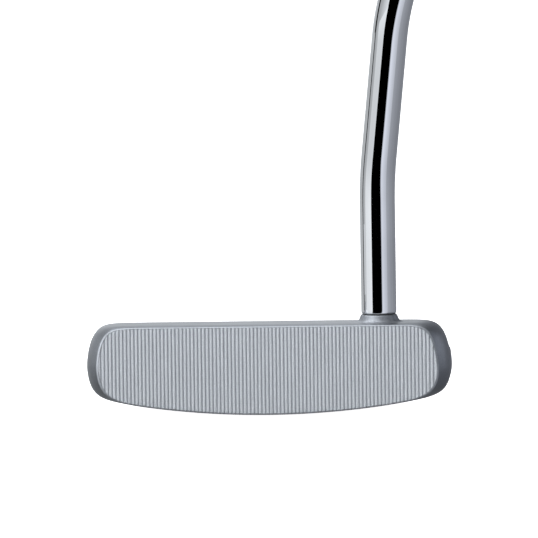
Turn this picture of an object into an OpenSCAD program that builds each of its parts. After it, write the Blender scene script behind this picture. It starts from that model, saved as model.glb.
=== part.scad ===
// Heel-shafted blade putter: cast head, grooved face insert, double-bend shaft, rubber grip.
// Origin: centre of the striking face. +X towards the heel, +Y towards the back, +Z up.
// The sole rests on the ground at z = sole_z, with the shaft leaning towards the heel.

/* [Face] */
// Length of the face, heel to toe
face_length = 96.4; // [90:0.1:100]
// Height of the face at its middle
face_height = 25; // [22:0.1:27]
// Angle that the face leans back
loft = 3; // [0:0.5:4]
// Width of the plain lip around the grooved insert
rim_width = 0.35; // [0.3:0.05:1]
// Chamfer on the outer edge of that lip
rim_chamfer = 0.25; // [0.1:0.05:0.3]
// Distance from one groove to the next
groove_pitch = 1.056; // [0.9:0.001:1.4]
// Width of a groove at the face
groove_width = 0.56; // [0.2:0.02:0.6]
// Depth of a groove
groove_depth = 0.26; // [0.1:0.02:0.3]
// Thickness of the insert
insert_thickness = 3; // [2:0.1:4]
// Thickness of the elastomer pad behind the insert
pad_thickness = 0.8; // [0.4:0.1:1.2]

/* [Head] */
// Overall length of the head, heel to toe
head_length = 103.1; // [100:0.1:108]
// Distance from the face to the back edge of the flange
head_depth = 36.5; // [34:0.5:42]
// Thickness of the blade, front to back
topline_depth = 15; // [12:0.1:16]
// Height of the topline above the centre of the face
topline_z = 12.85; // [12:0.05:15]
// Height of the lowest line of the sole
sole_z = -13.1; // [-15:0.1:-12.6]
// Radius of the sole's rocker, heel to toe
rocker_radius = 241; // [180:1:400]
// Height of the flange's upper face behind the blade
flange_z = -7.8; // [-9:0.5:-4]
// Height of the heel and toe pads' upper face behind the blade
pad_z = 4.8; // [2:0.1:8]
// Half of the distance between the heel and toe pads
pad_gap_half = 29; // [24:1:32]

/* [Hosel] */
// Distance from the centre of the face to the hosel, towards the heel
hosel_x = 31.4; // [25:0.1:36]
// Distance from the face to the hosel's axis
hosel_y = 8.2; // [7.5:0.1:9.5]
// Height of the collar above the topline
collar_height = 2.1; // [1.5:0.1:4]
// Radius of the collar where it meets the topline
collar_base_radius = 5.7; // [5.3:0.05:6]
// Radius of the post inside the shaft
post_radius = 4.2; // [3.8:0.05:4.25]
// Length of the post above the collar
post_length = 20; // [15:1:24]

/* [Shaft] */
// Length of the club from the ground to the butt, along the shaft
club_length = 864; // [838:1:889]
// Angle between the shaft and the ground
lie = 71; // [69:0.5:74]
// Outside radius of the tube at the tip
tip_radius = 5; // [4.9:0.05:5.2]
// Outside radius of the tube at the butt
butt_radius = 7.35; // [7:0.05:7.6]
// Wall of the tube
wall = 0.65; // [0.5:0.05:0.7]
// Height at which the first bend starts
bend_1_z = 46; // [40:1:50]
// Sideways lean between the two bends
mid_lean = 6.3; // [2:0.1:9]
// Forward lean between the two bends
mid_forward = 14; // [8:0.5:16]
// Length of straight tube between the two bends
mid_length = 34.7; // [30:0.1:45]
// Radius of both bends, at the tube's axis
bend_radius = 54; // [50:1:80]
// Distance along the club from the ground to the first step
first_step = 300; // [250:5:320]
// Distance from one step to the next
step_pitch = 29; // [25:1:30]
// Number of steps between the tip and the butt
step_count = 10; // [8:1:10]

/* [Weights] */
// Distance from the middle of the head to each sole weight
weight_x = 36.5; // [34:0.5:38]
// Distance from the face to each sole weight
weight_y = 21; // [20:0.5:24]
// Radius of a weight's head
weight_radius = 6; // [5:0.25:7]
// Radius of a weight's threaded shank
shank_radius = 4.75; // [4:0.25:5.5]
// Depth of a weight's shank above its head
shank_length = 6; // [4:0.5:6.5]

/* [Grip] */
// Length of the grip, mouth to butt
grip_length = 266; // [250:1:280]
// Thickness of the tape under the grip
tape = 0.15; // [0.1:0.05:0.3]
// Thickness of the end cap outside the grip
cap_thickness = 3.5; // [3:0.5:5]

/* [Hidden] */
$fn = 96;

gap = 0.05;               // room between pieces that slip together
half_points = 12;         // outline points from the middle of the head to either end
rise_power = [25, 1.5];   // how square the upper corners are: along x, along z
drop_power = [20, 2];     // how square the lower corners are: along x, along z
bulge_z = 0.6;            // height of the head's widest level, at the middle
bulge_tilt = 0.018;       // how much lower that level is towards the heel
block_front = 8.5;        // depth at which the head reaches its full length
collar_top = topline_z + collar_height;
bead = 0.3;               // epoxy left showing between collar and shaft

face_half = face_length / 2;
head_half = head_length / 2;
insert_back = insert_thickness + pad_thickness;
cutter_reach = 60;        // far enough to leave the head

// ---------- outline of the head, seen from the front ----------

// Points crowd towards the ends, where the outline turns.
function crowd(i) = sign(i) * (1 - pow(1 - abs(i) / half_points, 2.4));

function corner(r, power) = pow(max(0, 1 - pow(r, power[0])), 1 / power[1]);

function upper_z(x, half, top, mid) =
    let (w = mid - bulge_tilt * x) w + (top - w) * corner(abs(x) / half, rise_power);

function lower_z(x, half, low, mid) =
    let (w = mid - bulge_tilt * x)
    w + (low + x * x / (2 * rocker_radius) - w) * corner(abs(x) / half, drop_power);

function outline(half, top, low, mid = bulge_z) = concat(
    [for (i = [-half_points:half_points]) let (x = half * crowd(i)) [x, upper_z(x, half, top, mid)]],
    [for (i = [half_points - 1:-1:1 - half_points]) let (x = half * crowd(i)) [x, lower_z(x, half, low, mid)]]
);

// Turns the front view upright and gives it a thickness towards the back.
module upright(depth) {
    rotate([90, 0, 0])
        translate([0, 0, -depth])
            linear_extrude(depth)
                children();
}

// Things inside lie on the lofted plane of the face.
module on_face() {
    rotate([-loft, 0, 0])
        children();
}

// A point of the front view set on the lofted plane, at a depth behind it.
function face_point(p, depth) =
    [p[0], depth * cos(loft) + p[1] * sin(loft), p[1] * cos(loft) - depth * sin(loft)];

// A closed solid through rings of equal length, each ring a list of points.
module through_rings(rings) {
    n = len(rings[0]);
    m = len(rings);
    points = [for (ring = rings) each ring];
    sides = [
        for (j = [0:m - 2], k = [0:n - 1])
            let (a = j * n + k, b = j * n + (k + 1) % n)
            each [[a, b + n, b], [a, a + n, b + n]]
    ];
    ends = [[for (k = [0:n - 1]) k], [for (k = [n - 1:-1:0]) (m - 1) * n + k]];
    polyhedron(points, concat(sides, ends), convexity = 4);
}

// ---------- head ----------

// The front of the blade, where the outline grows from the face's size to the head's.
module flare() {
    face_top = face_height / 2 - 0.05;
    face_low = -face_height / 2;
    // y, how much shorter each half is, how much lower the top, how much higher the sole
    sections = [
        [3, 1.5, 0.15, 0.25],
        [6, 0.4, 0.05, 0.08],
        [block_front + 1, 0.06, 0.03, 0.03]
    ];
    front = outline(face_half - rim_chamfer, face_top - rim_chamfer, face_low + rim_chamfer);
    edge = outline(face_half, face_top, face_low);
    through_rings(concat(
        [[for (p = front) face_point(p, 0)], [for (p = edge) face_point(p, rim_chamfer)]],
        [for (s = sections)
            [for (p = outline(head_half - s[1], topline_z - s[2], sole_z + s[3])) [p[0], s[0], p[1]]]]
    ));
}

// The rest of the head: what the front view, the plan and the side view have in common.
module block() {
    foot = 3;
    back = topline_depth;
    rear = head_depth;
    side_view = [
        [block_front, -20],
        [block_front, 40],
        [back - 0.4, 40],
        [back - 0.4, topline_z + 0.1],
        [back, topline_z - 0.4],
        [back, pad_z + foot],
        [back + 0.3 * foot, pad_z + 0.3 * foot],
        [back + foot, pad_z],
        [rear - 12, pad_z - 1.4],
        [rear - 6, pad_z - 3.6],
        [rear - 2, pad_z - 6.4],
        [rear, pad_z - 9.4],
        [rear, sole_z + 4],
        [rear - 1, sole_z + 2.6],
        [rear - 3.5, sole_z + 1.4],
        [rear - 8.5, sole_z + 0.5],
        [rear - 16, sole_z - 0.2],
        [rear - 16, -20]
    ];
    // y, how much shorter each half is
    plan = [
        [block_front - 1, -0.5],
        [rear - 14.5, 0.2],
        [rear - 8.5, 1.4],
        [rear - 5, 3.2],
        [rear - 2.2, 6],
        [rear - 0.6, 9],
        [rear + 0.1, 12.5]
    ];
    last = len(plan) - 1;
    intersection() {
        translate([0, block_front, 0])
            upright(rear - block_front)
                polygon(outline(head_half, topline_z, sole_z));
        translate([0, 0, -20])
            linear_extrude(40)
                polygon(concat(
                    [for (q = plan) [head_half - q[1], q[0]]],
                    [for (i = [last:-1:0]) [plan[i][1] - head_half, plan[i][0]]]
                ));
        translate([-cutter_reach, 0, 0])
            rotate([90, 0, 90])
                linear_extrude(2 * cutter_reach)
                    polygon(side_view);
    }
}

// The hollow behind the blade, between the pads: an upright prism with rounded front corners.
module cavity() {
    corner_radius = 4;
    steps = 6;
    front = topline_depth + 2.5;
    function corner_point(side, a) = [
        side * (pad_gap_half + 1 - corner_radius + corner_radius * sin(a)),
        front + corner_radius - corner_radius * cos(a)
    ];
    translate([0, 0, flange_z])
        linear_extrude(cutter_reach)
            polygon(concat(
                [for (i = [0:steps]) corner_point(1, 90 * i / steps)],
                [[pad_gap_half, head_depth + 5], [-pad_gap_half, head_depth + 5]],
                [for (i = [steps:-1:0]) corner_point(-1, 90 * i / steps)]
            ));
}

module insert_pocket() {
    on_face()
        translate([0, -1, 0])
            upright(insert_back + 1)
                polygon(insert_outline(0));
}

function insert_outline(room) = outline(
    face_half - rim_width - room,
    face_height / 2 - 0.05 - rim_width - room,
    -face_height / 2 + rim_width + room
);

module collar() {
    fillet = 0.45;
    translate([hosel_x, hosel_y, 0])
        rotate_extrude()
            polygon([
                [0, topline_z - 2],
                [collar_base_radius + fillet, topline_z - 2],
                [collar_base_radius + fillet, topline_z - 0.05],
                [collar_base_radius + fillet * 0.3, topline_z + fillet * 0.3],
                [collar_base_radius - 0.05, topline_z + fillet],
                [tip_radius + 0.1, topline_z + 1.2],
                [tip_radius - 0.05, collar_top - 0.15],
                [tip_radius - 0.15, collar_top],
                [0, collar_top]
            ]);
}

module post() {
    chamfer = 0.8;
    translate([hosel_x, hosel_y, topline_z - 2]) {
        cylinder(r = post_radius, h = collar_height + 2 + post_length - chamfer);
        translate([0, 0, collar_height + 2 + post_length - chamfer])
            cylinder(r1 = post_radius, r2 = post_radius - chamfer, h = chamfer);
    }
}

// Puts things at a sole weight's seat, with +Z pointing down out of the sole.
module at_weight(side) {
    tilt = asin(weight_x / rocker_radius);
    seat_z = sole_z + weight_x * weight_x / (2 * rocker_radius) + 0.3;
    translate([side * weight_x, weight_y, seat_z])
        rotate([180, -side * tilt, 0])
            children();
}

weight_head = 2.2;        // thickness of a weight's head

module weight_bore() {
    translate([0, 0, -weight_head - gap])
        cylinder(r = weight_radius + gap, h = cutter_reach);
    translate([0, 0, -weight_head - shank_length - 0.5])
        cylinder(r = shank_radius + gap, h = shank_length + 1);
}

line_width = 1.6;
line_depth = 0.5;
line_start = topline_depth + 6;
line_end = head_depth - 3.5;

module head_body() {
    color([0.48, 0.49, 0.52])
        difference() {
            union() {
                difference() {
                    union() {
                        flare();
                        block();
                    }
                    cavity();
                }
                collar();
                post();
            }
            insert_pocket();
            for (side = [-1, 1])
                at_weight(side)
                    weight_bore();
            translate([-line_width / 2 - gap, line_start - gap, flange_z - line_depth])
                cube([line_width + 2 * gap, line_end - line_start + 2 * gap, line_depth + 1]);
        }
}

module face_insert() {
    grooves = floor(face_half / groove_pitch);
    color([0.68, 0.7, 0.73])
        on_face()
            difference() {
                upright(insert_thickness)
                    polygon(insert_outline(gap));
                for (i = [-grooves:grooves - 1])
                    translate([(i + 0.5) * groove_pitch, 0, -face_height])
                        linear_extrude(2 * face_height)
                            polygon([
                                [-groove_width / 2, -0.001],
                                [groove_width / 2, -0.001],
                                [groove_width / 6, groove_depth],
                                [-groove_width / 6, groove_depth]
                            ]);
            }
}

module insert_pad() {
    color([0.12, 0.12, 0.13])
        on_face()
            translate([0, insert_thickness, 0])
                upright(pad_thickness)
                    polygon(insert_outline(gap + 0.4));
}

module sight_line() {
    color([0.05, 0.05, 0.05])
        translate([-line_width / 2, line_start, flange_z - line_depth])
            cube([line_width, line_end - line_start, line_depth - 0.1]);
}

module sole_weight(side) {
    socket = 2.3;
    color([0.62, 0.63, 0.65])
        at_weight(side)
            difference() {
                union() {
                    translate([0, 0, -0.4])
                        cylinder(r1 = weight_radius, r2 = weight_radius - 0.4, h = 0.4);
                    translate([0, 0, -weight_head])
                        cylinder(r = weight_radius, h = weight_head - 0.4);
                    translate([0, 0, -weight_head - shank_length])
                        cylinder(r = shank_radius, h = shank_length);
                }
                translate([0, 0, -3])
                    cylinder(r = socket, h = 4, $fn = 6);
            }
}

module toe_weight() {
    sole_weight(-1);
}

module heel_weight() {
    sole_weight(1);
}

// ---------- shaft ----------

function unit(v) = v / norm(v);

// The tube's axis: up from the hosel, a bend, a straight, a bend, then up to the butt.
shaft_start = [hosel_x, hosel_y, collar_top + bead];
way_1 = [0, 0, 1];
way_2 = unit([tan(mid_lean), -tan(mid_forward), 1]);
way_3 = [cos(lie), 0, sin(lie)];

function turn(a, b) = acos(a * b);
function inward(a, b) = unit(b - a * (a * b));
function past_bend(p, a, b) =
    let (angle = turn(a, b))
    p + bend_radius * (sin(angle) * a + (1 - cos(angle)) * inward(a, b));

bend_1_start = [hosel_x, hosel_y, bend_1_z];
bend_1_end = past_bend(bend_1_start, way_1, way_2);
bend_2_start = bend_1_end + mid_length * way_2;
bend_2_end = past_bend(bend_2_start, way_2, way_3);
ground_point = bend_2_end - way_3 * ((bend_2_end[2] - sole_z) / way_3[2]);
upper_start = norm(bend_2_end - ground_point);
shaft_end = club_length - cap_thickness;
lap = 0.5;                // how far the tube's straight lengths run into its bends
swell = 0.02;             // how much thicker each way the wall is in a bend

// Moves to p, with local +Z along a and local -X towards the inside of the bend.
module frame_at(p, a, inner) {
    x = -inner;
    y = cross(a, x);
    multmatrix([
        [x[0], y[0], a[0], p[0]],
        [x[1], y[1], a[1], p[1]],
        [x[2], y[2], a[2], p[2]]
    ])
        children();
}

// A ring's bend from p, turning from direction a to direction b.
module bent(p, a, b, outer, inner) {
    n = inward(a, b);
    centre = p + bend_radius * n;
    x = -n;
    z = cross(x, a);
    multmatrix([
        [x[0], a[0], z[0], centre[0]],
        [x[1], a[1], z[1], centre[1]],
        [x[2], a[2], z[2], centre[2]]
    ])
        rotate_extrude(angle = turn(a, b), $fn = 180)
            translate([bend_radius, 0])
                difference() {
                    circle(outer + swell);
                    circle(inner - swell);
                }
}

// Where round the tube its long seam lies on a straight length.
seam_turn = 50;

module straight(p, q, outer, inner) {
    a = unit(q - p);
    frame_at(p, a, inward(a, way_1))
        translate([0, 0, -lap])
            rotate([0, 0, seam_turn])
                difference() {
                    cylinder(r = outer, h = norm(q - p) + 2 * lap);
                    translate([0, 0, -1])
                        cylinder(r = inner, h = norm(q - p) + 2 * lap + 2);
                }
}

// Radius of the tube above step number i.
function step_radius(i) = tip_radius + (butt_radius - tip_radius) * i / step_count;

// Outside of the upper tube as [distance from ground, radius], less a wall thickness.
function steps(inset) = [
    for (i = [1:step_count])
        let (s = first_step + (i - 1) * step_pitch)
        each [[s - 1, step_radius(i - 1) - inset], [s + 1, step_radius(i) - inset]]
];

function upper_profile(inset, from, to) = concat(
    [[from, tip_radius - inset]], steps(inset), [[to, butt_radius - inset]]
);

// The upper shaft's own frame: +Z up the shaft from the ground, -X the side that faces up.
module on_shaft() {
    frame_at(ground_point, way_3, inward(way_3, [1, 0, 0]) * -1)
        children();
}

module shaft() {
    bore = tip_radius - wall;
    edge = 0.35;
    outer = upper_profile(0, upper_start - lap, shaft_end);
    inner = upper_profile(wall, upper_start - lap, shaft_end);
    color([0.85, 0.86, 0.88]) {
        translate([shaft_start[0], shaft_start[1], 0])
            rotate_extrude()
                polygon([
                    [bore, shaft_start[2]],
                    [tip_radius - edge, shaft_start[2]],
                    [tip_radius, shaft_start[2] + 2 * edge],
                    [tip_radius, bend_1_z + lap],
                    [bore, bend_1_z + lap]
                ]);
        bent(bend_1_start, way_1, way_2, tip_radius, bore);
        straight(bend_1_end, bend_2_start, tip_radius, bore);
        bent(bend_2_start, way_2, way_3, tip_radius, bore);
        on_shaft()
            rotate_extrude()
                polygon(concat(
                    [for (p = outer) [p[1], p[0]]],
                    [for (i = [len(inner) - 1:-1:0]) [inner[i][1], inner[i][0]]]
                ));
    }
}

module shaft_epoxy() {
    skin = 0.01;
    color([0.04, 0.04, 0.04])
        translate([hosel_x, hosel_y, 0])
            rotate_extrude()
                polygon([
                    [post_radius + skin, collar_top + skin],
                    [tip_radius - 0.3, collar_top + skin],
                    [tip_radius - 0.3, shaft_start[2] - skin],
                    [tip_radius - wall - skin, shaft_start[2] - skin],
                    [tip_radius - wall - skin, collar_top + post_length - 1.5],
                    [post_radius + skin, collar_top + post_length - 1.5]
                ]);
}

// ---------- grip ----------

grip_start = club_length - cap_thickness - grip_length;
grip_end = club_length - cap_thickness;
bore_radius = butt_radius + tape + 0.02;
grip_sides = 40;

// How far the grip stands from the shaft's axis at share t of its length:
// the flat front, half its width, and the rounded back with its pistol swell.
function grip_front(t) = 9.4 + 1.6 * t;
function grip_width(t) = 9.6 + 3.2 * t;
function grip_back(t) = 9.8 + 2.4 * t + 5.2 * exp(-pow((t - 0.9) / 0.17, 2));

function signed_pow(v, e) = sign(v) * pow(abs(v), e);

// A section with a squarish front, at -X, and a round back.
function grip_section(t, scale) = [
    for (k = [0:grip_sides - 1])
        let (a = 360 * k / grip_sides, front = cos(a) < 0, e = front ? 2 / 3.6 : 2 / 2.15)
        [scale * (front ? grip_front(t) : grip_back(t)) * signed_pow(cos(a), e),
         scale * grip_width(t) * signed_pow(sin(a), e)]
];

// t along the grip, scale of the section: round the mouth's lip, then run to the butt.
grip_rings = concat(
    [[0, 0.93], [0.004, 0.985], [0.012, 1]],
    [for (i = [1:22]) [0.012 + (1 - 0.012) * i / 22, 1]]
);

module grip_sleeve() {
    color([0.06, 0.06, 0.065])
        on_shaft()
            difference() {
                through_rings([
                    for (r = grip_rings)
                        [for (p = grip_section(r[0], r[1])) [p[0], p[1], grip_start + r[0] * grip_length]]
                ]);
                translate([0, 0, grip_start - 1])
                    cylinder(r = bore_radius, h = grip_length + 2);
            }
}

module grip_tape() {
    color([0.85, 0.82, 0.7])
        on_shaft()
            translate([0, 0, grip_start + 8])
                difference() {
                    cylinder(r = butt_radius + tape, h = grip_length - 12);
                    translate([0, 0, -1])
                        cylinder(r = butt_radius + 0.01, h = grip_length);
                }
}

module grip_cap() {
    vent = 1.1;
    stem = 9;
    // share of cap_thickness, scale of the section
    dome = [[0, 1], [0.35, 0.995], [0.6, 0.96], [0.8, 0.88], [0.93, 0.74], [1, 0.55]];
    color([0.05, 0.05, 0.055])
        on_shaft()
            translate([0, 0, grip_end])
                difference() {
                    union() {
                        through_rings([
                            for (d = dome)
                                [for (p = grip_section(1, d[1])) [p[0], p[1], 0.01 + d[0] * (cap_thickness - 0.01)]]
                        ]);
                        translate([0, 0, -stem])
                            cylinder(r = butt_radius - wall - 0.1, h = stem + 1);
                    }
                    translate([0, 0, -stem - 1])
                        cylinder(r = vent, h = stem + cap_thickness + 2);
                }
}

head_body();
face_insert();
insert_pad();
sight_line();
toe_weight();
heel_weight();
shaft();
shaft_epoxy();
grip_tape();
grip_sleeve();
grip_cap();
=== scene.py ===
"""Looks of a blade putter: satin cast head, grooved face, chromed double-bend shaft and rubber grip.

Lengths are in millimetres until a mesh is made, and the frame's own axes are kept:
X towards the heel, Y towards the back, Z up, with the origin at the centre of the face.
"""

import math

import bpy
import numpy as np
from mathutils import Matrix, Vector


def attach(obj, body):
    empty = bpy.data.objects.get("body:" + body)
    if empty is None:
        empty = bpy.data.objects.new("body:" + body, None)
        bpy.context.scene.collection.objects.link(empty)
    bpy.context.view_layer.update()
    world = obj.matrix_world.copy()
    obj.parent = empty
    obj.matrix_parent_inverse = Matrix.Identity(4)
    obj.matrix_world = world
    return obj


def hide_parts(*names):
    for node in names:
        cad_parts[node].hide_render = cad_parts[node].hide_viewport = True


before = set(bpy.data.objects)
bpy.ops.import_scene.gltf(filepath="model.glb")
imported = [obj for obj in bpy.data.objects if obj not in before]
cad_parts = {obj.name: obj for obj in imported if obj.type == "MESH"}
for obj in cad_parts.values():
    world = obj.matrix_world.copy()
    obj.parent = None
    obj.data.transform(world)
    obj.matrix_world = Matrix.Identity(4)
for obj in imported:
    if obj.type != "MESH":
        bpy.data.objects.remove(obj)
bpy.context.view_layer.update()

MM = 0.001

# ---------- main sizes: the CAD model's, or within 0.6 mm of them ----------

LOFT = math.radians(3)
FACE_HALF = 48.2
FACE_TOP = 12.45
FACE_LOW = -12.5
LIP = 0.35
CHAMFER = 0.25
INSERT_DEPTH = 3.0
POCKET_DEPTH = 3.8
GROOVE_PITCH = 1.056
GROOVE_WIDTH = 0.56
GROOVE_DEPTH = 0.25
HEAD_HALF = 51.55
HEAD_REAR = 36.5
TOPLINE_DEPTH = 15.0
TOPLINE_Z = 12.85
SOLE_Z = -13.1
ROCKER = 241.0
FLANGE_Z = -7.8
PAD_Z = 4.8
CAVITY_HALF = 29.6
HOSEL_X = 31.4
HOSEL_Y = 8.2
COLLAR_TOP = TOPLINE_Z + 2.1
BEAD = 0.3
POST_RADIUS = 4.2
POST_LENGTH = 20.0
TIP_RADIUS = 5.0
BUTT_RADIUS = 7.35
WALL = 0.65
CLUB_LENGTH = 864.0
LIE = math.radians(71)
MID_LEAN = math.radians(6.3)
MID_FORWARD = math.radians(14)
BEND_1_Z = 46.0
MID_LENGTH = 34.7
BEND_RADIUS = 54.0
FIRST_STEP = 300.0
STEP_PITCH = 29.0
STEP_COUNT = 10
GRIP_LENGTH = 266.0
CAP_THICKNESS = 3.5

# ---------- the blade's shape behind the face ----------

# How much smaller the blade is at the face, and how far back it takes to reach full size.
TOE_FLARE = 3.35
TOE_FLARE_DEPTH = 9.0
TOP_FLARE = 0.45
TOP_FLARE_DEPTH = 3.0
SOLE_FLARE = 0.6
SOLE_FLARE_DEPTH = 14.0

# Seen from the front, the blade is two half superellipses that meet at its widest line, which
# drops towards the heel.
WIDEST_Z = 0.6
WIDEST_DROP = 0.018
SIDE_POWER_OVER = 25
RISE_POWER_OVER = 1.5
SIDE_POWER_UNDER = 20
DROP_POWER_UNDER = 2
# The lower corners fill out a little behind the face.
CORNER_FILL = 6
CORNER_FILL_START = 0.3
CORNER_FILL_END = 6.0

# Seen from above, the rear corners turn in; from the side, the sole rises and the pads fall.
REAR_TURN_START = 21.9
REAR_TURN_LENGTH = 14.7
REAR_TURN_IN = 13.0
SOLE_RISE_START = 22.0
SOLE_RISE = 0.0137
PAD_FALL_START = 18.0
PAD_FALL = 0.0274

EDGE_ROUND = 0.55
REAR_ROUND = 1.6
PAD_FILLET = 3.0
CAVITY_BACKSET = 2.5
CAVITY_CORNER = 4.0
CAVITY_FILLET = 1.4
CAVITY_EDGE = 0.5


# ---------- mesh helpers ----------


def make_object(name, points, faces, material=None, smooth=True, sharp_angle=None):
    """An object from points in millimetres."""
    mesh = bpy.data.meshes.new(name)
    scaled = np.asarray(points, float) * MM
    mesh.from_pydata(scaled.tolist(), [], [list(map(int, f)) for f in faces])
    mesh.update()
    if smooth:
        mesh.shade_smooth()
    if sharp_angle is not None:
        mesh.set_sharp_from_angle(angle=math.radians(sharp_angle))
    obj = bpy.data.objects.new(name, mesh)
    bpy.context.scene.collection.objects.link(obj)
    if material is not None:
        mesh.materials.append(material)
    return obj


def ring_faces(ring_count, size, loop=False):
    """Quads between rings of equal size. A loop joins the last to the first; else the ends are capped."""
    faces = []
    for j in range(ring_count if loop else ring_count - 1):
        a = j * size
        b = (j + 1) % ring_count * size
        for k in range(size):
            n = (k + 1) % size
            faces.append((a + k, a + n, b + n, b + k))
    if not loop:
        last = (ring_count - 1) * size
        faces.append(tuple(range(size - 1, -1, -1)))
        faces.append(tuple(range(last, last + size)))
    return faces


def full_turn(segments):
    return np.linspace(0, 2 * math.pi, segments, endpoint=False)


def level_ring(x, y, z):
    """A ring of points at one height."""
    return np.stack([x, y, np.full(len(x), z)], axis=1)


def lathe(profile, segments=128):
    """Rings round the Z axis through (radius, z) pairs, from the bottom up."""
    angles = full_turn(segments)
    rings = [level_ring(radius * np.cos(angles), radius * np.sin(angles), z) for radius, z in profile]
    return np.concatenate(rings), ring_faces(len(profile), segments)


def join(objects, name):
    """Joins mesh objects into the first one."""
    with bpy.context.temp_override(
        active_object=objects[0], selected_objects=objects, selected_editable_objects=objects
    ):
        bpy.ops.object.join()
    objects[0].name = name
    objects[0].data.name = name
    return objects[0]


def cut(target, tools):
    """Cuts closed tools out of a closed mesh and drops them."""
    for tool in tools:
        modifier = target.modifiers.new("cut", "BOOLEAN")
        modifier.operation = "DIFFERENCE"
        modifier.solver = "MANIFOLD"
        modifier.object = tool
    graph = bpy.context.evaluated_depsgraph_get()
    done = bpy.data.meshes.new_from_object(target.evaluated_get(graph))
    target.modifiers.clear()
    old = target.data
    target.data = done
    bpy.data.meshes.remove(old)
    for tool in tools:
        bpy.data.objects.remove(tool, do_unlink=True)


def on_face(x, depth, up):
    """A point set on the lofted plane of the face, at a depth behind it."""
    return np.stack(
        [
            np.broadcast_to(x, np.shape(up)) + 0.0 * up,
            depth * math.cos(LOFT) + up * math.sin(LOFT),
            up * math.cos(LOFT) - depth * math.sin(LOFT),
        ],
        axis=-1,
    )


def smooth(value, low, high):
    """0 below low, 1 above high, and a soft slope between."""
    x = np.clip((value - low) / (high - low), 0, 1)
    return x * x * (3 - 2 * x)


# ---------- outline of the head, seen from the front ----------


def widest_z(x):
    """Height at which the blade is widest."""
    return WIDEST_Z - WIDEST_DROP * x


def upper_z(x, half, top):
    """Height of the outline's upper half at x."""
    w = widest_z(x)
    r = np.clip(np.abs(x) / half, 0, 1)
    return w + (top - w) * (1 - r**SIDE_POWER_OVER) ** (1 / RISE_POWER_OVER)


def lower_z(x, half, low):
    """Height of the outline's lower half at x."""
    w = widest_z(x)
    r = np.clip(np.abs(x) / half, 0, 1)
    sole = low + x * x / (2 * ROCKER)
    return w + (sole - w) * (1 - r**SIDE_POWER_UNDER) ** (1 / DROP_POWER_UNDER)


def outline(half, top, low, steps=200):
    """Points round the front view, toe to heel over the top, then back along the sole."""
    t = np.linspace(-1, 1, 2 * steps + 1)
    x = half * np.sign(t) * (1 - (1 - np.abs(t)) ** 3)
    over = np.stack([x, upper_z(x, half, top)], axis=1)
    under = np.stack([x, lower_z(x, half, low)], axis=1)[-2:0:-1]
    return np.concatenate([over, under])


# ---------- the cast head, as a distance field ----------


def round_union(a, b, r):
    """Two bodies as one, with a fillet of radius r between them."""
    u = np.maximum(r - a, 0)
    v = np.maximum(r - b, 0)
    return np.maximum(r, np.minimum(a, b)) - np.hypot(u, v)


def round_common(a, b, r):
    """What two bodies have in common, with its edges rounded to radius r."""
    return -round_union(-a, -b, r)


def flare(s, amount, depth):
    """How far short of full size the blade is at depth s behind the face."""
    return amount * np.maximum(0, 1 - s / depth) ** 2


def head_distance(x, y, z):
    """Roughly the distance to the head's surface, negative inside."""
    s = y - z * math.tan(LOFT)
    turned = np.clip((y - REAR_TURN_START) / REAR_TURN_LENGTH, 0, 0.9995)
    half = HEAD_HALF - flare(s, TOE_FLARE, TOE_FLARE_DEPTH) - REAR_TURN_IN * (1 - np.sqrt(1 - turned**2))
    top = TOPLINE_Z - flare(s, TOP_FLARE, TOP_FLARE_DEPTH)
    low = SOLE_Z + flare(s, SOLE_FLARE, SOLE_FLARE_DEPTH)
    low = low + SOLE_RISE * np.maximum(0, y - SOLE_RISE_START) ** 2
    w = widest_z(x)
    sole = low + x * x / (2 * ROCKER)
    r = np.abs(x) / half
    up = np.clip((z - w) / (top - w), 0, None)
    down = np.clip((w - z) / (w - sole), 0, None)
    above = z > w
    over = SIDE_POWER_OVER
    under = SIDE_POWER_UNDER + CORNER_FILL * smooth(s, CORNER_FILL_START, CORNER_FILL_END)
    rise = RISE_POWER_OVER
    drop = DROP_POWER_UNDER
    level = np.where(above, r**over + up**rise, r**under + down**drop)
    slope_x = np.where(above, over * r ** (over - 1), under * r ** (under - 1)) / half
    slope_z = np.where(above, rise * up ** (rise - 1) / (top - w), drop * down ** (drop - 1) / (w - sole))
    skin = np.clip((level - 1) / (np.hypot(slope_x, slope_z) + 1e-6), -8, 8)

    blade = y - TOPLINE_DEPTH
    back = np.maximum(0, y - PAD_FALL_START)
    pads = (z - PAD_Z + PAD_FALL * back**2) / np.sqrt(1 + (2 * PAD_FALL * back) ** 2)
    body = round_common(skin, round_union(blade, pads, PAD_FILLET), EDGE_ROUND)
    body = round_common(body, y - HEAD_REAR, REAR_ROUND)

    walls = round_common(np.abs(x) - CAVITY_HALF, TOPLINE_DEPTH + CAVITY_BACKSET - y, CAVITY_CORNER)
    hollow = round_common(walls, FLANGE_Z - z, CAVITY_FILLET)
    body = round_common(body, -hollow, CAVITY_EDGE)
    # The body goes on 1 mm in front of the face, until build_head cuts it flat.
    return np.maximum(body, -s - 1.0)


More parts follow.
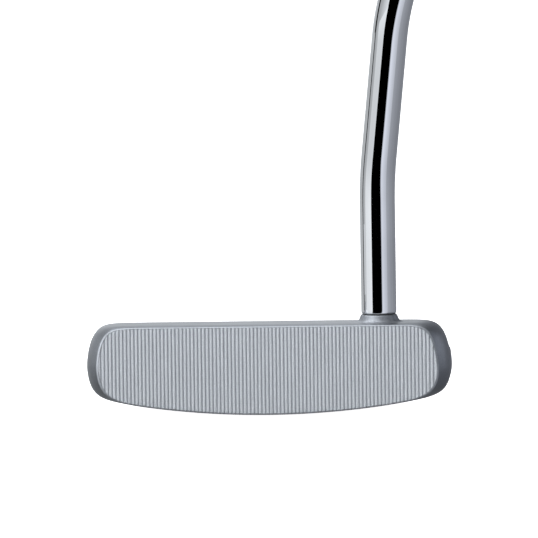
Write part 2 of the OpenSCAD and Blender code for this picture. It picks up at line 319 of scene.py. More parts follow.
def surface_net(field, low, high, step):
    """A closed quad mesh where the field crosses zero, one point to a grid cell."""
    axes = [np.arange(a, b + step, step) for a, b in zip(low, high)]
    x, y, z = np.meshgrid(*axes, indexing="ij")
    value = field(x, y, z)
    inside = value < 0
    cells = tuple(n - 1 for n in value.shape)
    total = np.zeros(cells)
    place = np.zeros(cells + (3,))

    def corner(array, offset):
        return array[tuple(slice(o, o + n) for o, n in zip(offset, cells))]

    corners = [(i, j, k) for i in (0, 1) for j in (0, 1) for k in (0, 1)]
    for a in corners:
        for axis in range(3):
            if a[axis]:
                continue
            b = tuple(a[i] + (1 if i == axis else 0) for i in range(3))
            va, vb = corner(value, a), corner(value, b)
            crosses = (va < 0) != (vb < 0)
            share = np.where(crosses, va / np.where(crosses, va - vb, 1), 0)
            total += crosses
            for i in range(3):
                place[..., i] += crosses * (a[i] + (share if i == axis else 0))
    used = total > 0
    index = np.full(cells, -1)
    index[used] = np.arange(used.sum())
    where = np.stack(np.nonzero(used), axis=1)
    points = (where + place[used] / total[used][:, None]) * step + np.array([a[0] for a in axes])

    faces = []
    for axis in range(3):
        u, v = (axis + 1) % 3, (axis + 2) % 3
        grid = np.stack(np.nonzero(inside != np.roll(inside, -1, axis)), axis=1)
        ok = np.all(grid > 0, axis=1) & np.all(grid < np.array(value.shape) - 1, axis=1)
        grid = grid[ok]
        leaving = inside[tuple(grid.T)]
        quad = []
        for du, dv in ((-1, -1), (0, -1), (0, 0), (-1, 0)):
            cell = grid.copy()
            cell[:, u] += du
            cell[:, v] += dv
            quad.append(index[tuple(cell.T)])
        quad = np.stack(quad, axis=1)
        quad[~leaving] = quad[~leaving][:, ::-1]
        faces.append(quad)
    return points, np.concatenate(faces)


def settle(field, points, rounds=4, reach=0.3):
    """Moves points on to the field's zero surface, at most reach in a round."""
    probe = 0.02
    for _ in range(rounds):
        x, y, z = points.T
        value = field(x, y, z)
        gradient = np.stack(
            [
                field(x + probe, y, z) - field(x - probe, y, z),
                field(x, y + probe, z) - field(x, y - probe, z),
                field(x, y, z + probe) - field(x, y, z - probe),
            ],
            axis=1,
        ) / (2 * probe)
        size = np.maximum((gradient**2).sum(1), 0.05)
        move = -(value / size)[:, None] * gradient
        length = np.linalg.norm(move, axis=1, keepdims=True)
        points = points + move * np.minimum(1, reach / np.maximum(length, 1e-9))
    return points


def relax(points, faces, share=0.5):
    """Evens out the spacing of the points."""
    total = np.zeros_like(points)
    count = np.zeros(len(points))
    for i in range(4):
        for j in (1, 3):
            np.add.at(total, faces[:, i], points[faces[:, (i + j) % 4]])
            np.add.at(count, faces[:, i], 1)
    return points + share * (total / np.maximum(count, 1)[:, None] - points)


def prism_on_face(shape, near, far):
    """A closed block whose front and back are the same outline, set on the lofted plane."""
    rings = [on_face(shape[:, 0], depth, shape[:, 1]) for depth in (near, far)]
    return np.concatenate(rings), ring_faces(2, len(shape))


def box_mesh(low, high):
    corners = [(x, y, z) for x in (low[0], high[0]) for y in (low[1], high[1]) for z in (low[2], high[2])]
    faces = [(0, 1, 3, 2), (4, 6, 7, 5), (0, 4, 5, 1), (2, 3, 7, 6), (0, 2, 6, 4), (1, 5, 7, 3)]
    return np.array(corners, float), faces


WEIGHT_X = 36.5
WEIGHT_Y = 21.0
WEIGHT_TILT = math.asin(WEIGHT_X / ROCKER)
# Radius and height of the bore for a sole weight, from its end out past the sole.
BORE_PROFILE = [(4.8, -9.2), (4.8, -2.4), (6.05, -2.25), (6.05, -0.35), (6.5, 0.25), (6.5, 8)]
GRID_STEP = 0.42
SIGHT_LINE_LOW = (-0.85, TOPLINE_DEPTH + 5.95, FLANGE_Z - 0.5)
SIGHT_LINE_HIGH = (0.85, HEAD_REAR - 3.45, 0)


def weight_seat(side):
    """Matrix from a weight's own frame, with +Z out of the sole, to the head, in millimetres."""
    inset = 0.3
    seat_z = SOLE_Z + WEIGHT_X**2 / (2 * ROCKER) + inset
    place = Matrix.Translation((side * WEIGHT_X, WEIGHT_Y, seat_z))
    return place @ Matrix.Rotation(-side * WEIGHT_TILT, 4, "Y") @ Matrix.Rotation(math.pi, 4, "X")


def through(matrix, points):
    """Points moved by a 4 by 4 matrix."""
    m = np.array(matrix)
    return points @ m[:3, :3].T + m[:3, 3]


def build_head(material):
    """The casting: a mesh of the field, cut for what it carries, with its lip, collar and post."""
    low = (-HEAD_HALF - 1.3, -2.1, SOLE_Z - 1.2)
    high = (HEAD_HALF + 1.3, HEAD_REAR + 1.3, TOPLINE_Z + 1.2)
    points, faces = surface_net(head_distance, low, high, GRID_STEP)
    points = settle(head_distance, points)
    for _ in range(2):
        points = settle(head_distance, relax(points, faces), rounds=2)
    head = make_object("head", points, faces, material)

    front, block = box_mesh((-60, -20, -30), (60, CHAMFER, 30))
    front = on_face(front[:, 0], front[:, 1], front[:, 2])
    mouth = outline(FACE_HALF - LIP, FACE_TOP - LIP, FACE_LOW + LIP, 120)
    tools = [
        make_object("cut_front", front, block),
        make_object("cut_pocket", *prism_on_face(mouth, -2, POCKET_DEPTH)),
    ]
    for side in (-1, 1):
        bore, bore_faces = lathe(BORE_PROFILE)
        tools.append(make_object("cut_bore", through(weight_seat(side), bore), bore_faces))
    tools.append(make_object("cut_line", *box_mesh(SIGHT_LINE_LOW, SIGHT_LINE_HIGH)))
    cut(head, tools)
    head.data.shade_smooth()
    head.data.set_sharp_from_angle(angle=math.radians(28))

    lip = make_object("lip", *lip_ring(), EDGE, sharp_angle=25)
    collar = make_object("collar", *collar_ring(), COLLAR, sharp_angle=40)
    post = make_object("post", *post_rod(), material, sharp_angle=40)
    return join([head, lip, collar, post], "head_casting")


def lip_ring():
    """The thin chamfered edge that frames the face."""
    mouth = (FACE_HALF - LIP, FACE_TOP - LIP, FACE_LOW + LIP)
    outer_half = HEAD_HALF - flare(CHAMFER, TOE_FLARE, TOE_FLARE_DEPTH)
    outer_top = TOPLINE_Z - flare(CHAMFER, TOP_FLARE, TOP_FLARE_DEPTH)
    outer_low = SOLE_Z + flare(CHAMFER, SOLE_FLARE, SOLE_FLARE_DEPTH)
    overlap = 0.05
    rings = [
        (*mouth, CHAMFER + overlap),
        (*mouth, 0.0),
        (FACE_HALF - CHAMFER, FACE_TOP - CHAMFER, FACE_LOW + CHAMFER, 0.0),
        (outer_half, outer_top, outer_low, CHAMFER),
        (outer_half - 0.03, FACE_TOP - 0.01, FACE_LOW + 0.01, CHAMFER + overlap),
    ]
    points = []
    for half, top, low, depth in rings:
        shape = outline(half, top, low)
        points.append(on_face(shape[:, 0], depth, shape[:, 1]))
    return np.concatenate(points), ring_faces(len(rings), len(points[0]), loop=True)


# Radius and height of the collar, from inside the topline up its hollow flank to the bead.
COLLAR_PROFILE = [
    (0.01, -1.5), (7.1, -1.5), (7.1, -0.02), (6.85, 0.0), (6.6, 0.03), (6.36, 0.1), (6.14, 0.2),
    (5.95, 0.33), (5.79, 0.5), (5.65, 0.7), (5.54, 0.92), (5.44, 1.15), (5.35, 1.38), (5.27, 1.6),
    (5.19, 1.8), (5.08, 1.96), (4.92, 2.08), (4.7, 2.12), (0.01, 2.12),
]


def collar_ring():
    """The short bell that the shaft stands on, kept clear of the topline's back edge."""
    back_margin = 0.7
    points, faces = lathe(COLLAR_PROFILE, 192)
    points[:, 1] = np.minimum(points[:, 1], TOPLINE_DEPTH - back_margin - HOSEL_Y)
    return points + np.array([HOSEL_X, HOSEL_Y, TOPLINE_Z]), faces


def post_rod():
    """The chamfered post inside the tube."""
    chamfer = 0.8
    foot, top = COLLAR_TOP - 1, COLLAR_TOP + POST_LENGTH
    profile = [(0.01, foot), (POST_RADIUS, foot), (POST_RADIUS, top - chamfer)]
    profile += [(POST_RADIUS - chamfer, top), (0.01, top)]
    points, faces = lathe(profile, 64)
    return points + np.array([HOSEL_X, HOSEL_Y, 0]), faces


def build_face(material):
    """The grooved plate: a column of quads for each step across the groove profile."""
    gap = 0.02
    bevel_width, bevel_depth = 0.05, 0.06
    half = FACE_HALF - LIP - gap
    top, low = FACE_TOP - LIP - gap, FACE_LOW + LIP + gap
    # Place and depth across half a groove, as shares of its half width and its depth.
    across = [(-1.0, 0.0), (-0.93, 0.03), (-0.5, 0.5), (-0.12, 0.94), (0.0, 1.0)]
    across += [(-a, d) for a, d in across[-2::-1]]
    count = int(half / GROOVE_PITCH)
    columns = [(-half, 0.0), (-half + bevel_width, 0.0)]
    for i in range(-count, count):
        middle = (i + 0.5) * GROOVE_PITCH
        if abs(middle) + GROOVE_WIDTH / 2 > half - 0.08:
            continue
        for offset, share in across:
            columns.append((middle + offset * GROOVE_WIDTH / 2, share * GROOVE_DEPTH))
        columns.append((middle + GROOVE_PITCH / 2, 0.0))
    columns = [c for c in columns if c[0] < half - 0.06] + [(half - bevel_width, 0.0), (half, 0.0)]
    x = np.array([c[0] for c in columns])
    depth = np.array([c[1] for c in columns])
    upper = upper_z(x, half, top)
    lower = lower_z(x, half, low)
    # Rows up the plate, close together at both ends so that the bevel there stays narrow.
    shares = [0.0, 0.003, 0.006] + [j / 12 for j in range(1, 12)] + [0.994, 0.997, 1.0]
    points = []
    for share in shares:
        up = lower + (upper - lower) * share
        edge = bevel_depth if share in (0.0, 1.0) else 0.0
        points.append(on_face(x, np.maximum(depth, edge), up))
    points.append(on_face(x, INSERT_DEPTH, upper))
    points.append(on_face(x, INSERT_DEPTH, lower))
    n = len(x)
    rows = len(points)
    faces = []
    for j in range(rows):
        a, b = j * n, ((j + 1) % rows) * n
        for k in range(n - 1):
            faces.append((a + k, a + k + 1, b + k + 1, b + k))
    ring = [j * n for j in range(rows)]
    faces.append(tuple(ring))
    faces.append(tuple(r + n - 1 for r in reversed(ring)))
    return make_object("face_plate", np.concatenate(points), faces, material, sharp_angle=50)


# ---------- shaft ----------


def unit(v):
    return v / np.linalg.norm(v)


# Directions of the tube's three straight stretches, from the collar up.
WAY_1 = np.array([0.0, 0.0, 1.0])
WAY_2 = unit(np.array([math.tan(MID_LEAN), -math.tan(MID_FORWARD), 1.0]))
WAY_3 = np.array([math.cos(LIE), 0.0, math.sin(LIE)])


def bend_points(start, a, b, steps):
    """Points and directions along a bend from direction a to direction b."""
    angle = math.acos(float(a @ b))
    inner = unit(b - a * (a @ b))
    route = []
    for i in range(steps + 1):
        t = angle * i / steps
        place = start + BEND_RADIUS * (math.sin(t) * a + (1 - math.cos(t)) * inner)
        route.append((place, math.cos(t) * a + math.sin(t) * inner))
    return route


def shaft_route():
    """Point and direction along the tube's axis, and where the upper shaft starts."""
    foot = np.array([HOSEL_X, HOSEL_Y, 0.0])
    low = COLLAR_TOP + BEAD
    route = [(foot + WAY_1 * z, WAY_1) for z in np.linspace(low, BEND_1_Z, 24)[:-1]]
    route += bend_points(foot + WAY_1 * BEND_1_Z, WAY_1, WAY_2, 28)
    bend_1_end = route[-1][0]
    route += [(bend_1_end + WAY_2 * d, WAY_2) for d in np.linspace(0, MID_LENGTH, 20)[1:-1]]
    route += bend_points(bend_1_end + WAY_2 * MID_LENGTH, WAY_2, WAY_3, 36)
    top = route[-1][0]
    ground = top - WAY_3 * ((top[2] - SOLE_Z) / WAY_3[2])
    return route, ground, float(np.linalg.norm(top - ground))


ROUTE, GROUND, UPPER_START = shaft_route()


def step_radius(s):
    """Outside radius at distance s along the club, with a short even rise at each step."""
    level = 0.0
    for i in range(STEP_COUNT):
        level += np.clip((s - (FIRST_STEP + i * STEP_PITCH) + 1) / 2, 0, 1)
    return TIP_RADIUS + (BUTT_RADIUS - TIP_RADIUS) * level / STEP_COUNT


def build_shaft(material):
    """One tube, outside and inside, swept along the route with a frame that doesn't twist."""
    end = CLUB_LENGTH - CAP_THICKNESS
    stations = [UPPER_START + 2 + 4 * i for i in range(10)]
    stations += list(np.arange(UPPER_START + 45, FIRST_STEP - 4, 12.0))
    for i in range(STEP_COUNT):
        s = FIRST_STEP + i * STEP_PITCH
        stations += [s + d for d in (-4, -1.3, -1.0, -0.8, -0.4, 0, 0.4, 0.8, 1.0, 1.3, 4, 11, 18)]
    stations.append(end)
    stations = [s for s in stations if s <= end]
    route = list(ROUTE)
    radii = [TIP_RADIUS] * len(route)
    for s in stations:
        route.append((GROUND + WAY_3 * s, WAY_3))
        radii.append(float(step_radius(s)))

    segments = 128
    angles = full_turn(segments)
    # Inset and rise of each ring round the tube's eased lower edge.
    eased_edge = [(0.34, 0.0), (0.2, 0.03), (0.1, 0.12), (0.03, 0.28), (0.0, 0.5)]
    side = np.array([1.0, 0.0, 0.0])
    outer, inner = [], []
    for i, (place, way) in enumerate(route):
        side = unit(side - way * (side @ way))
        other = np.cross(way, side)
        circle = np.cos(angles)[:, None] * side + np.sin(angles)[:, None] * other
        if i == 0:
            for inset, rise in eased_edge:
                outer.append(place + way * rise + (radii[0] - inset) * circle)
        else:
            outer.append(place + radii[i] * circle)
        inner.append(place + (radii[i] - WALL) * circle)
    rings = outer + inner[::-1]
    faces = ring_faces(len(rings), segments, loop=True)
    return make_object("shaft_tube", np.concatenate(rings), faces, material, sharp_angle=60)


# ---------- grip ----------

GRIP_SEGMENTS = 240
PIT_DEPTH = 0.45
PITS_AROUND = 14
PIT_PITCH = 5
RING_DEPTH = 0.35
RING_PLACES = (9.0, 12.5)
RING_REACH = 0.9


def grip_section(t, angles):
    """Front at -X, back at +X, in the shaft's own frame, at share t from the mouth to the butt."""
    front = 9.4 + 1.6 * t
    width = 9.6 + 3.2 * t
    back = 9.8 + 2.4 * t + 5.2 * np.exp(-(((t - 0.9) / 0.17) ** 2))
    c, s = np.cos(angles), np.sin(angles)
    in_front = c < 0
    # The front is nearly flat, and the back nearly round.
    power = np.where(in_front, 2 / 3.6, 2 / 2.15)
    x = np.where(in_front, front, back) * np.sign(c) * np.abs(c) ** power
    y = width * np.sign(s) * np.abs(s) ** power
    return x, y


def grip_relief(t, angles):
    """Depth of the moulded pattern: small diamond pits in three long panels, and two rings."""
    s = t * GRIP_LENGTH
    # The angle from the middle of the back, which sets where each panel starts and ends.
    turn = np.abs((angles + math.pi) % (2 * math.pi) - math.pi)
    front = smooth(turn, 2.2, 2.3)
    sides = smooth(turn, 0.5, 0.56) * (1 - smooth(turn, 1.62, 1.68))
    along = smooth(s, 16, 18) * (1 - smooth(s, GRIP_LENGTH - 26, GRIP_LENGTH - 24))
    plain_band = 1 - smooth(s, 128, 129) * (1 - smooth(s, 138, 139))
    diamonds = smooth(np.cos(PITS_AROUND * angles) + math.cos(2 * math.pi * s / PIT_PITCH), 0.45, 1.1)
    rings = sum(max(0.0, 1 - abs(s - place) / RING_REACH) for place in RING_PLACES)
    return PIT_DEPTH * np.maximum(front, sides) * along * plain_band * diamonds + RING_DEPTH * rings


def shaft_frame():
    """Columns that turn the upper shaft's own frame into the head's."""
    down = unit(np.array([1.0, 0.0, 0.0]) - WAY_3 * WAY_3[0])
    return np.stack([down, np.cross(WAY_3, down), WAY_3], axis=1)


def on_shaft(points):
    """Points given in the upper shaft's own frame, in the head's."""
    return points @ shaft_frame().T + GROUND


def build_grip(material):
    """The sleeve: its patterned outside from the mouth to the butt, then its bore."""
    start = CLUB_LENGTH - CAP_THICKNESS - GRIP_LENGTH
    angles = full_turn(GRIP_SEGMENTS)
    # Share of the length and scale of each ring: four for the eased mouth, then the body.
    stations = [(0.0, 0.93), (0.0015, 0.965), (0.004, 0.987), (0.008, 0.997)]
    stations += [(t, 1.0) for t in np.linspace(0.012, 1, 400)]
    bore = BUTT_RADIUS + 0.17
    rings = []
    for t, scale in stations:
        x, y = grip_section(t, angles)
        share = scale - grip_relief(t, angles) / np.hypot(x, y)
        rings.append(level_ring(share * x, share * y, start + t * GRIP_LENGTH))
    for z in (start + GRIP_LENGTH, start):
        rings.append(level_ring(bore * np.cos(angles), bore * np.sin(angles), z))
    faces = ring_faces(len(rings), GRIP_SEGMENTS, loop=True)
    return make_object("grip_rubber", on_shaft(np.concatenate(rings)), faces, material, sharp_angle=50)


# Rise, as a share of the cap's thickness, and scale of each ring up its dome.
DOME = [
    (0.0, 1.0), (0.12, 1.0), (0.3, 0.996), (0.46, 0.983), (0.6, 0.96), (0.72, 0.925), (0.82, 0.875),
    (0.9, 0.81), (0.96, 0.73), (0.99, 0.64), (1.0, 0.55),
]
VENT_RADIUS = 1.1
PLUG_RADIUS = 6.6
PLUG_DEPTH = 9


def build_cap(material):
    """The end cap: a dome with a vent hole, and the plug that goes into the tube."""
    angles = full_turn(GRIP_SEGMENTS)
    base = CLUB_LENGTH - CAP_THICKNESS
    top = base + CAP_THICKNESS
    x, y = grip_section(1.0, angles)
    rings = [level_ring(scale * x, scale * y, base + rise * CAP_THICKNESS) for rise, scale in DOME]
    inside = [
        (VENT_RADIUS + 0.9, top),
        (VENT_RADIUS + 0.25, top - 0.25),
        (VENT_RADIUS, top - 0.7),
        (VENT_RADIUS, base - PLUG_DEPTH),
        (PLUG_RADIUS, base - PLUG_DEPTH),
        (PLUG_RADIUS, base),
    ]
    rings += [level_ring(radius * np.cos(angles), radius * np.sin(angles), z) for radius, z in inside]
    faces = ring_faces(len(rings), GRIP_SEGMENTS, loop=True)
    return make_object("grip_end_cap", on_shaft(np.concatenate(rings)), faces, material, sharp_angle=40)


# ---------- materials ----------


class Nodes:
    """A short way to write a material's node tree."""

    def __init__(self, name):
        self.material = bpy.data.materials.new(name)
        self.material.use_nodes = True
        self.tree = self.material.node_tree
        self.tree.nodes.clear()
        self.shader = self.add("ShaderNodeBsdfPrincipled")
        out = self.add("ShaderNodeOutputMaterial")
        self.link(self.shader.outputs["BSDF"], out.inputs["Surface"])

    def add(self, kind, **settings):
        node = self.tree.nodes.new(kind)
        for key, value in settings.items():
            setattr(node, key, value)
        return node

    def link(self, a, b):
        self.tree.links.new(a, b)

    def set(self, **values):
        for key, value in values.items():
            self.shader.inputs[key.replace("_", " ")].default_value = value

    def place(self, scale=(1, 1, 1), rotation=(0, 0, 0)):
        """The object's own coordinates in metres, scaled and turned."""
        coords = self.add("ShaderNodeTexCoord")
        mapping = self.add("ShaderNodeMapping")
        mapping.inputs["Scale"].default_value = scale
        mapping.inputs["Rotation"].default_value = rotation
        self.link(coords.outputs["Object"], mapping.inputs["Vector"])
        return mapping.outputs["Vector"]

    def noise(self, vector, scale, detail=2.0, roughness=0.5):
        node = self.add("ShaderNodeTexNoise")
        node.inputs["Scale"].default_value = scale
        node.inputs["Detail"].default_value = detail
        node.inputs["Roughness"].default_value = roughness
        self.link(vector, node.inputs["Vector"])
        return node.outputs["Fac"]

    def colour(self, value, dark, light):
        """Base colour, from dark to light as the value goes from 0.3 to 0.7."""
        node = self.add("ShaderNodeValToRGB")
        for element, position, colour in zip(node.color_ramp.elements, (0.3, 0.7), (dark, light)):
            element.position = position
            element.color = (*colour, 1)
        self.link(value, node.inputs["Fac"])
        self.link(node.outputs["Color"], self.shader.inputs["Base Color"])

    def rough(self, value, low, high):
        """Roughness, from low to high as the value goes from 0 to 1."""
        node = self.add("ShaderNodeMapRange")
        node.inputs["To Min"].default_value = low
        node.inputs["To Max"].default_value = high
        self.link(value, node.inputs["Value"])
        self.link(node.outputs["Result"], self.shader.inputs["Roughness"])

    def bump(self, heights):
        """Adds (height, distance in metres) layers of relief, one on another."""
        normal = None
        for height, distance in heights:
            node = self.add("ShaderNodeBump")
            node.inputs["Strength"].default_value = 1.0
            node.inputs["Distance"].default_value = distance
            self.link(height, node.inputs["Height"])
            if normal is not None:
                self.link(normal, node.inputs["Normal"])
            normal = node.outputs["Normal"]
        self.link(normal, self.shader.inputs["Normal"])


def grey(level):
    return (level, level, level)


def satin_casting():
    """Bead-blasted stainless steel: fine pits, specks and a little cloudiness."""
    n = Nodes("satin_casting")
    n.set(Metallic=1.0)
    where = n.place()
    cloud = n.noise(where, 90, 3)
    speck = n.noise(where, 2300, 3, 0.7)
    grain = n.noise(where, 5200, 2, 0.6)
    n.colour(speck, (0.203, 0.212, 0.229), (0.252, 0.263, 0.283))
    n.rough(cloud, 0.34, 0.42)
    n.bump([(speck, 0.000012), (grain, 0.00001)])
    return n.material


def rough_casting():
    """The collar, left coarser by the blasting than the head below it."""
    n = Nodes("rough_casting")
    n.set(Metallic=1.0)
    where = n.place()
    blotch = n.noise(where, 900, 3, 0.6)
    grain = n.noise(where, 2400, 2, 0.6)
    n.colour(blotch, (0.2, 0.208, 0.224), (0.3, 0.312, 0.334))
    n.rough(blotch, 0.46, 0.58)
    n.bump([(blotch, 0.00002), (grain, 0.000016)])
    return n.material


def milled_face():
    """Light milled metal with fine vertical tool marks and a blasted grain."""
    n = Nodes("milled_face")
    n.set(Metallic=1.0)
    where = n.place()
    along = n.place(scale=(1, 1, 0.04))
    streak = n.noise(along, 7000, 2, 0.6)
    grain = n.noise(where, 3200, 3, 0.6)
    n.colour(grain, (0.42, 0.431, 0.45), (0.54, 0.553, 0.575))
    n.rough(grain, 0.26, 0.36)
    n.bump([(streak, 0.000004), (grain, 0.000008)])
    return n.material


def machined_edge():
    """Bare metal where the cutter has broken the edge of the casting."""
    n = Nodes("machined_edge")
    n.set(Metallic=1.0)
    grain = n.noise(n.place(), 2600, 3, 0.6)
    n.colour(grain, (0.29, 0.301, 0.322), (0.37, 0.385, 0.41))
    n.rough(grain, 0.44, 0.54)
    n.bump([(grain, 0.000006)])
    return n.material


def chrome():
    """Polished plate with a faint haze."""
    n = Nodes("chrome_plate")
    n.set(Metallic=1.0)
    where = n.place()
    haze = n.noise(where, 60, 3)
    n.colour(haze, (0.8, 0.805, 0.815), (0.86, 0.865, 0.875))
    n.rough(n.noise(where, 400, 3), 0.02, 0.036)
    n.bump([(haze, 0.000004)])
    return n.material


def turned_steel():
    """The sole weights' brighter, finely turned metal."""
    n = Nodes("turned_steel")
    n.set(Metallic=1.0)
    where = n.place()
    n.colour(n.noise(where, 300, 2), grey(0.5), grey(0.6))
    n.rough(n.noise(where, 2500, 2), 0.2, 0.34)
    n.bump([(n.noise(where, 3000, 2), 0.00001)])
    return n.material


def rubber():
    """Black grip rubber with a fine matt grain."""
    n = Nodes("grip_rubber")
    where = n.place()
    cloud = n.noise(where, 120, 3)
    grain = n.noise(where, 2600, 3, 0.6)
    n.colour(cloud, grey(0.012), grey(0.02))
    n.rough(grain, 0.52, 0.7)
    n.bump([(grain, 0.00006)])
    return n.material


def grained(name, low, high, rough):
    """A non-metal with a fine grain in its colour, roughness and relief."""
    n = Nodes(name)
    grain = n.noise(n.place(), 900, 3)
    n.colour(grain, low, high)
    n.rough(grain, rough - 0.06, rough + 0.06)
    n.bump([(grain, 0.00003)])
    return n.material


# ---------- the object ----------


def dress(node, material):
    """Gives a CAD node a better material."""
    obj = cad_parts[node]
    obj.data.materials.clear()
    obj.data.materials.append(material)


STEEL = satin_casting()
FACE = milled_face()
EDGE = machined_edge()
COLLAR = rough_casting()
CHROME = chrome()
TURNED = turned_steel()
RUBBER = rubber()
EPOXY = grained("epoxy", grey(0.006), grey(0.012), 0.35)
PAD = grained("pad_rubber", grey(0.015), grey(0.03), 0.7)
PAINT = grained("line_paint", (0.72, 0.72, 0.7), (0.8, 0.8, 0.78), 0.4)
TAPE = grained("tape", (0.55, 0.48, 0.33), (0.66, 0.6, 0.44), 0.7)

head = build_head(STEEL)
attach(head, "root")
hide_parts("head_body")

face = build_face(FACE)
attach(face, "root")
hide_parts("face_insert")

shaft = build_shaft(CHROME)
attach(shaft, "root")
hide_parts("shaft")

grip = build_grip(RUBBER)
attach(grip, "root")
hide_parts("grip_sleeve")

cap = build_cap(RUBBER)
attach(cap, "root")
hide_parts("grip_cap")

dress("insert_pad", PAD)
dress("sight_line", PAINT)
dress("toe_weight", TURNED)
dress("heel_weight", TURNED)
dress("shaft_epoxy", EPOXY)
dress("grip_tape", TAPE)


# ---------- floor, light and camera ----------


def stage_mesh(name, points, faces, material):
    """A piece of the studio, which is not part of the object."""
    obj = make_object(name, points, faces, material, smooth=False)
    return obj


def sheet(reach, z):
    """Corners of a level square."""
    return [(-reach, -reach, z), (reach, -reach, z), (reach, reach, z), (-reach, reach, z)]


def card_glow():
    """Emission that follows the brightness stored in a card's points."""
    material = bpy.data.materials.new("card_glow")
    material.use_nodes = True
    tree = material.node_tree
    tree.nodes.clear()
    level = tree.nodes.new("ShaderNodeVertexColor")
    level.layer_name = "level"
    emission = tree.nodes.new("ShaderNodeEmission")
    emission.inputs["Strength"].default_value = 1.0
    out = tree.nodes.new("ShaderNodeOutputMaterial")
    tree.links.new(level.outputs["Color"], emission.inputs["Color"])
    tree.links.new(emission.outputs["Emission"], out.inputs["Surface"])
    return material


CARD_GLOW = card_glow()


def floor_material():
    n = Nodes("pale_floor")
    n.set(Roughness=0.9, Base_Color=(0.86, 0.86, 0.86, 1))
    n.set(Emission_Color=(1, 1, 1, 1), Emission_Strength=1.0)
    return n.material


def build_floor():
    """The white ground, which the metal doesn't reflect."""
    floor = stage_mesh("floor", sheet(12000.0, SOLE_Z - 0.15), [(0, 1, 2, 3)], floor_material())
    floor.visible_glossy = False


# Upright cards round the club, seen only in reflections. Each row is one card: the bearings of
# its two ends, in degrees from the side the face looks to (minus is towards the toe), and the
# brightness at each of those ends.
STRIPES = [
    (-180, -125, 0.68, 0.5),
    (-125, -112.5, 0.52, 0.62),
    (-112.5, -104.5, 0.02, 0.03),
    (-104.5, -84, 0.44, 0.6),
    (-84, -39.5, 0.9, 1.0),
    (-39.5, 23.8, 0.0, 0.0),
    (23.8, 30, 0.5, 0.84),
    (30, 62, 0.84, 0.6),
    (62, 100, 0.46, 0.33),
    (100, 125, 0.36, 0.28),
    (125, 180, 0.3, 0.25),
]
LOW_STRIPES = [
    (-180, -125, 0.3, 0.3),
    (-125, -117, 0.3, 0.3),
    (-117, -102, 0.0, 0.0),
    (-102, -84, 0.2, 0.27),
    (-84, -48, 0.27, 0.64),
    (-48, 15.3, 0.0, 0.0),
    (15.3, 21.5, 0.5, 0.9),
    (21.5, 62, 0.95, 0.6),
    (62, 100, 0.42, 0.3),
    (100, 125, 0.3, 0.24),
    (125, 180, 0.2, 0.2),
]
SHAFT_STRIPES = [
    (-180, -125, 0.85, 0.5),
    (-125, -116, 0.52, 0.5),
    (-116, -103, 0.0, 0.0),
    (-103, -84, 0.44, 0.5),
    (-84, -39.5, 0.5, 0.92),
    (-39.5, 23.8, 0.0, 0.0),
    (23.8, 30, 0.5, 0.7),
    (30, 62, 0.68, 0.55),
    (62, 100, 0.42, 0.33),
    (100, 125, 0.5, 0.28),
    (125, 180, 0.2, 0.25),
]
PANELS = [
    (-180, -125, 1.18, 0.8),
    (-125, -98, 0.6, 0.5),
    (-98, -61, 4.2, 4.2),
    (-61, 24, 2.4, 2.4),
    (24, 62, 0.7, 0.25),
    (62, 94, 0.08, 0.1),
    (94, 132, 0.95, 0.95),
    (132, 180, 0.3, 0.25),
]
UPPER_PANELS = [
    (-180, -125, 0.72, 1.05),
    (-125, -62, 1.2, 1.3),
    (-62, 24, 1.3, 1.3),
    (24, 62, 0.5, 0.4),
    (62, 125, 0.42, 0.4),
    (125, 180, 0.15, 0.2),
]
FAR = 3000.0
NEAR = 200.0
CARD_STEP = 4
TOE_TINT = (0.93, 0.965, 1.0)
HEEL_TINT = (0.875, 0.92, 1.03)
TINT_CHANGE = 20

# Storeys of far cards, from below the ground up: name, cards at the foot, cards at the top, and
# the heights of foot and top. Where the two lists differ, the cards slant.
STOREYS = [
    ("low_stripe", LOW_STRIPES, STRIPES, -2000, -340),
    ("stripe", STRIPES, STRIPES, -340, 60),
    ("panel", PANELS, PANELS, 60, 1100),
    ("upper_panel", UPPER_PANELS, UPPER_PANELS, 1100, 2600),
]


def build_cards(name, foot_cards, top_cards, centre, radius, foot, top):
    """One storey of cards on a circle about an upright line."""
    for number, (low, high) in enumerate(zip(foot_cards, top_cards)):
        steps = max(2, int((high[1] - high[0]) / CARD_STEP))
        points = []
        levels = []
        for i in range(steps + 1):
            share = i / steps
            for (start, end, first, last), z in ((low, foot), (high, top)):
                bearing = math.radians(start + (end - start) * share)
                x = centre[0] + radius * math.sin(bearing)
                y = centre[1] - radius * math.cos(bearing)
                points.append((x, y, z))
                levels.append(first + (last - first) * share)
        card = stage_mesh(f"{name}_{number}", points, strip_faces(steps), CARD_GLOW)
        finish_card(card, levels, TOE_TINT if high[0] < TINT_CHANGE else HEEL_TINT)


def strip_faces(steps):
    """Quads along a strip whose points come in pairs."""
    return [(2 * i, 2 * i + 2, 2 * i + 3, 2 * i + 1) for i in range(steps)]


def finish_card(card, levels, tint=TOE_TINT):
    """Stores a brightness in each of the card's points and leaves the card to reflections only."""
    layer = card.data.color_attributes.new("level", "FLOAT_COLOR", "POINT")
    for item, level in zip(layer.data, levels):
        item.color = (level * tint[0], level * tint[1], level * tint[2], 1)
    card.visible_camera = False
    card.visible_shadow = False
    card.visible_diffuse = False


def build_ceiling():
    """A big soft panel overhead, brightest over the toe."""
    reach, height = 3000.0, 2600.0
    strips = [(-reach, 3.4), (-600.0, 3.0), (0.0, 2.2), (700.0, 0.6), (reach, 0.1)]
    points = []
    for x, _ in strips:
        points += [(x, -reach, height), (x, reach, height)]
    panel = stage_mesh("ceiling", points, strip_faces(len(strips) - 1), CARD_GLOW)
    finish_card(panel, [level for _, level in strips for _ in range(2)])


def build_pit():
    """A dim ground far below, seen only in reflections."""
    pit = stage_mesh("pit", sheet(3000.0, -2000.0), [(0, 1, 2, 3)], CARD_GLOW)
    finish_card(pit, [0.3] * 4)


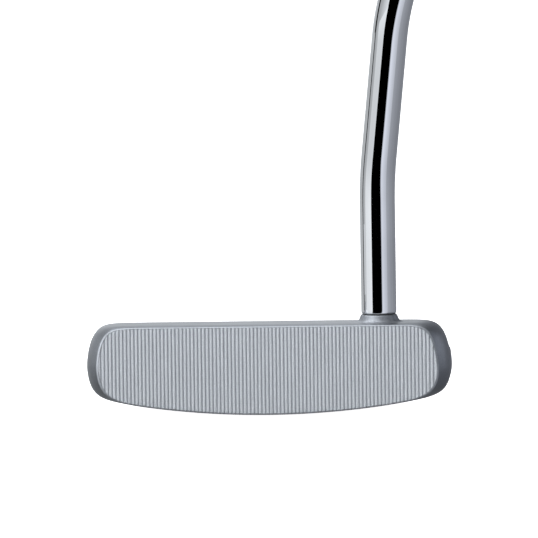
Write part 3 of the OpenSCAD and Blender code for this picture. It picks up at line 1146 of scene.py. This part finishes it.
def build_flag():
    """A small card past the toe that keeps the bright panel off the topline and the shaft's foot."""
    x = -HEAD_HALF - 9
    front, back = 1.0, 24.0
    foot, top = 13.4, 34.0
    points = [(x, front, foot), (x, back, foot), (x, back, top), (x, front, top)]
    flag = stage_mesh("flag", points, [(0, 1, 2, 3)], CARD_GLOW)
    finish_card(flag, [0.7] * 4)


def build_key():
    """A soft lamp up in front of the toe, aimed at the face."""
    data = bpy.data.lights.new("key", "AREA")
    data.shape = "RECTANGLE"
    data.size, data.size_y = 1.0, 0.8
    data.energy = 13
    light = bpy.data.objects.new("key", data)
    light.location = Vector((-900, -760, 1000)) * MM
    light.rotation_mode = "QUATERNION"
    light.rotation_quaternion = (-light.location).to_track_quat("-Z", "Y")
    bpy.context.scene.collection.objects.link(light)


def build_world():
    """A cool, even surround."""
    world = bpy.data.worlds.new("studio")
    world.use_nodes = True
    background = world.node_tree.nodes["Background"]
    background.inputs["Color"].default_value = (0.96, 0.98, 1.0, 1)
    background.inputs["Strength"].default_value = 0.5
    bpy.context.scene.world = world


def build_camera():
    """A long lens, a little round to the heel and just above the head."""
    yaw, pitch, roll = math.radians(2.6), math.radians(4.6), math.radians(0.9)
    distance = 2600.0
    view_width = 151.6
    sensor_width = 36
    aim = Vector((0.88, 0.0, 28.75))
    back = Vector((math.sin(yaw) * math.cos(pitch), -math.cos(yaw) * math.cos(pitch), math.sin(pitch)))
    data = bpy.data.cameras.new("camera")
    data.sensor_width = sensor_width
    data.lens = sensor_width * distance / view_width
    data.clip_start, data.clip_end = 0.05, 60
    camera = bpy.data.objects.new("camera", data)
    camera.location = (aim + back * distance) * MM
    turn = (-back).to_track_quat("-Z", "Y").to_matrix().to_4x4() @ Matrix.Rotation(-roll, 4, "Z")
    camera.rotation_mode = "QUATERNION"
    camera.rotation_quaternion = turn.to_quaternion()
    bpy.context.scene.collection.objects.link(camera)
    bpy.context.scene.camera = camera


build_floor()
for name, foot_cards, top_cards, foot, top in STOREYS:
    build_cards(name, foot_cards, top_cards, (HOSEL_X, 0), FAR, foot, top)
build_cards("shaft_stripe", SHAFT_STRIPES, SHAFT_STRIPES, (38, -2), NEAR, 82, 180)
build_ceiling()
build_pit()
build_flag()
build_world()
build_key()
build_camera()
bpy.context.scene.view_settings.view_transform = "Standard"
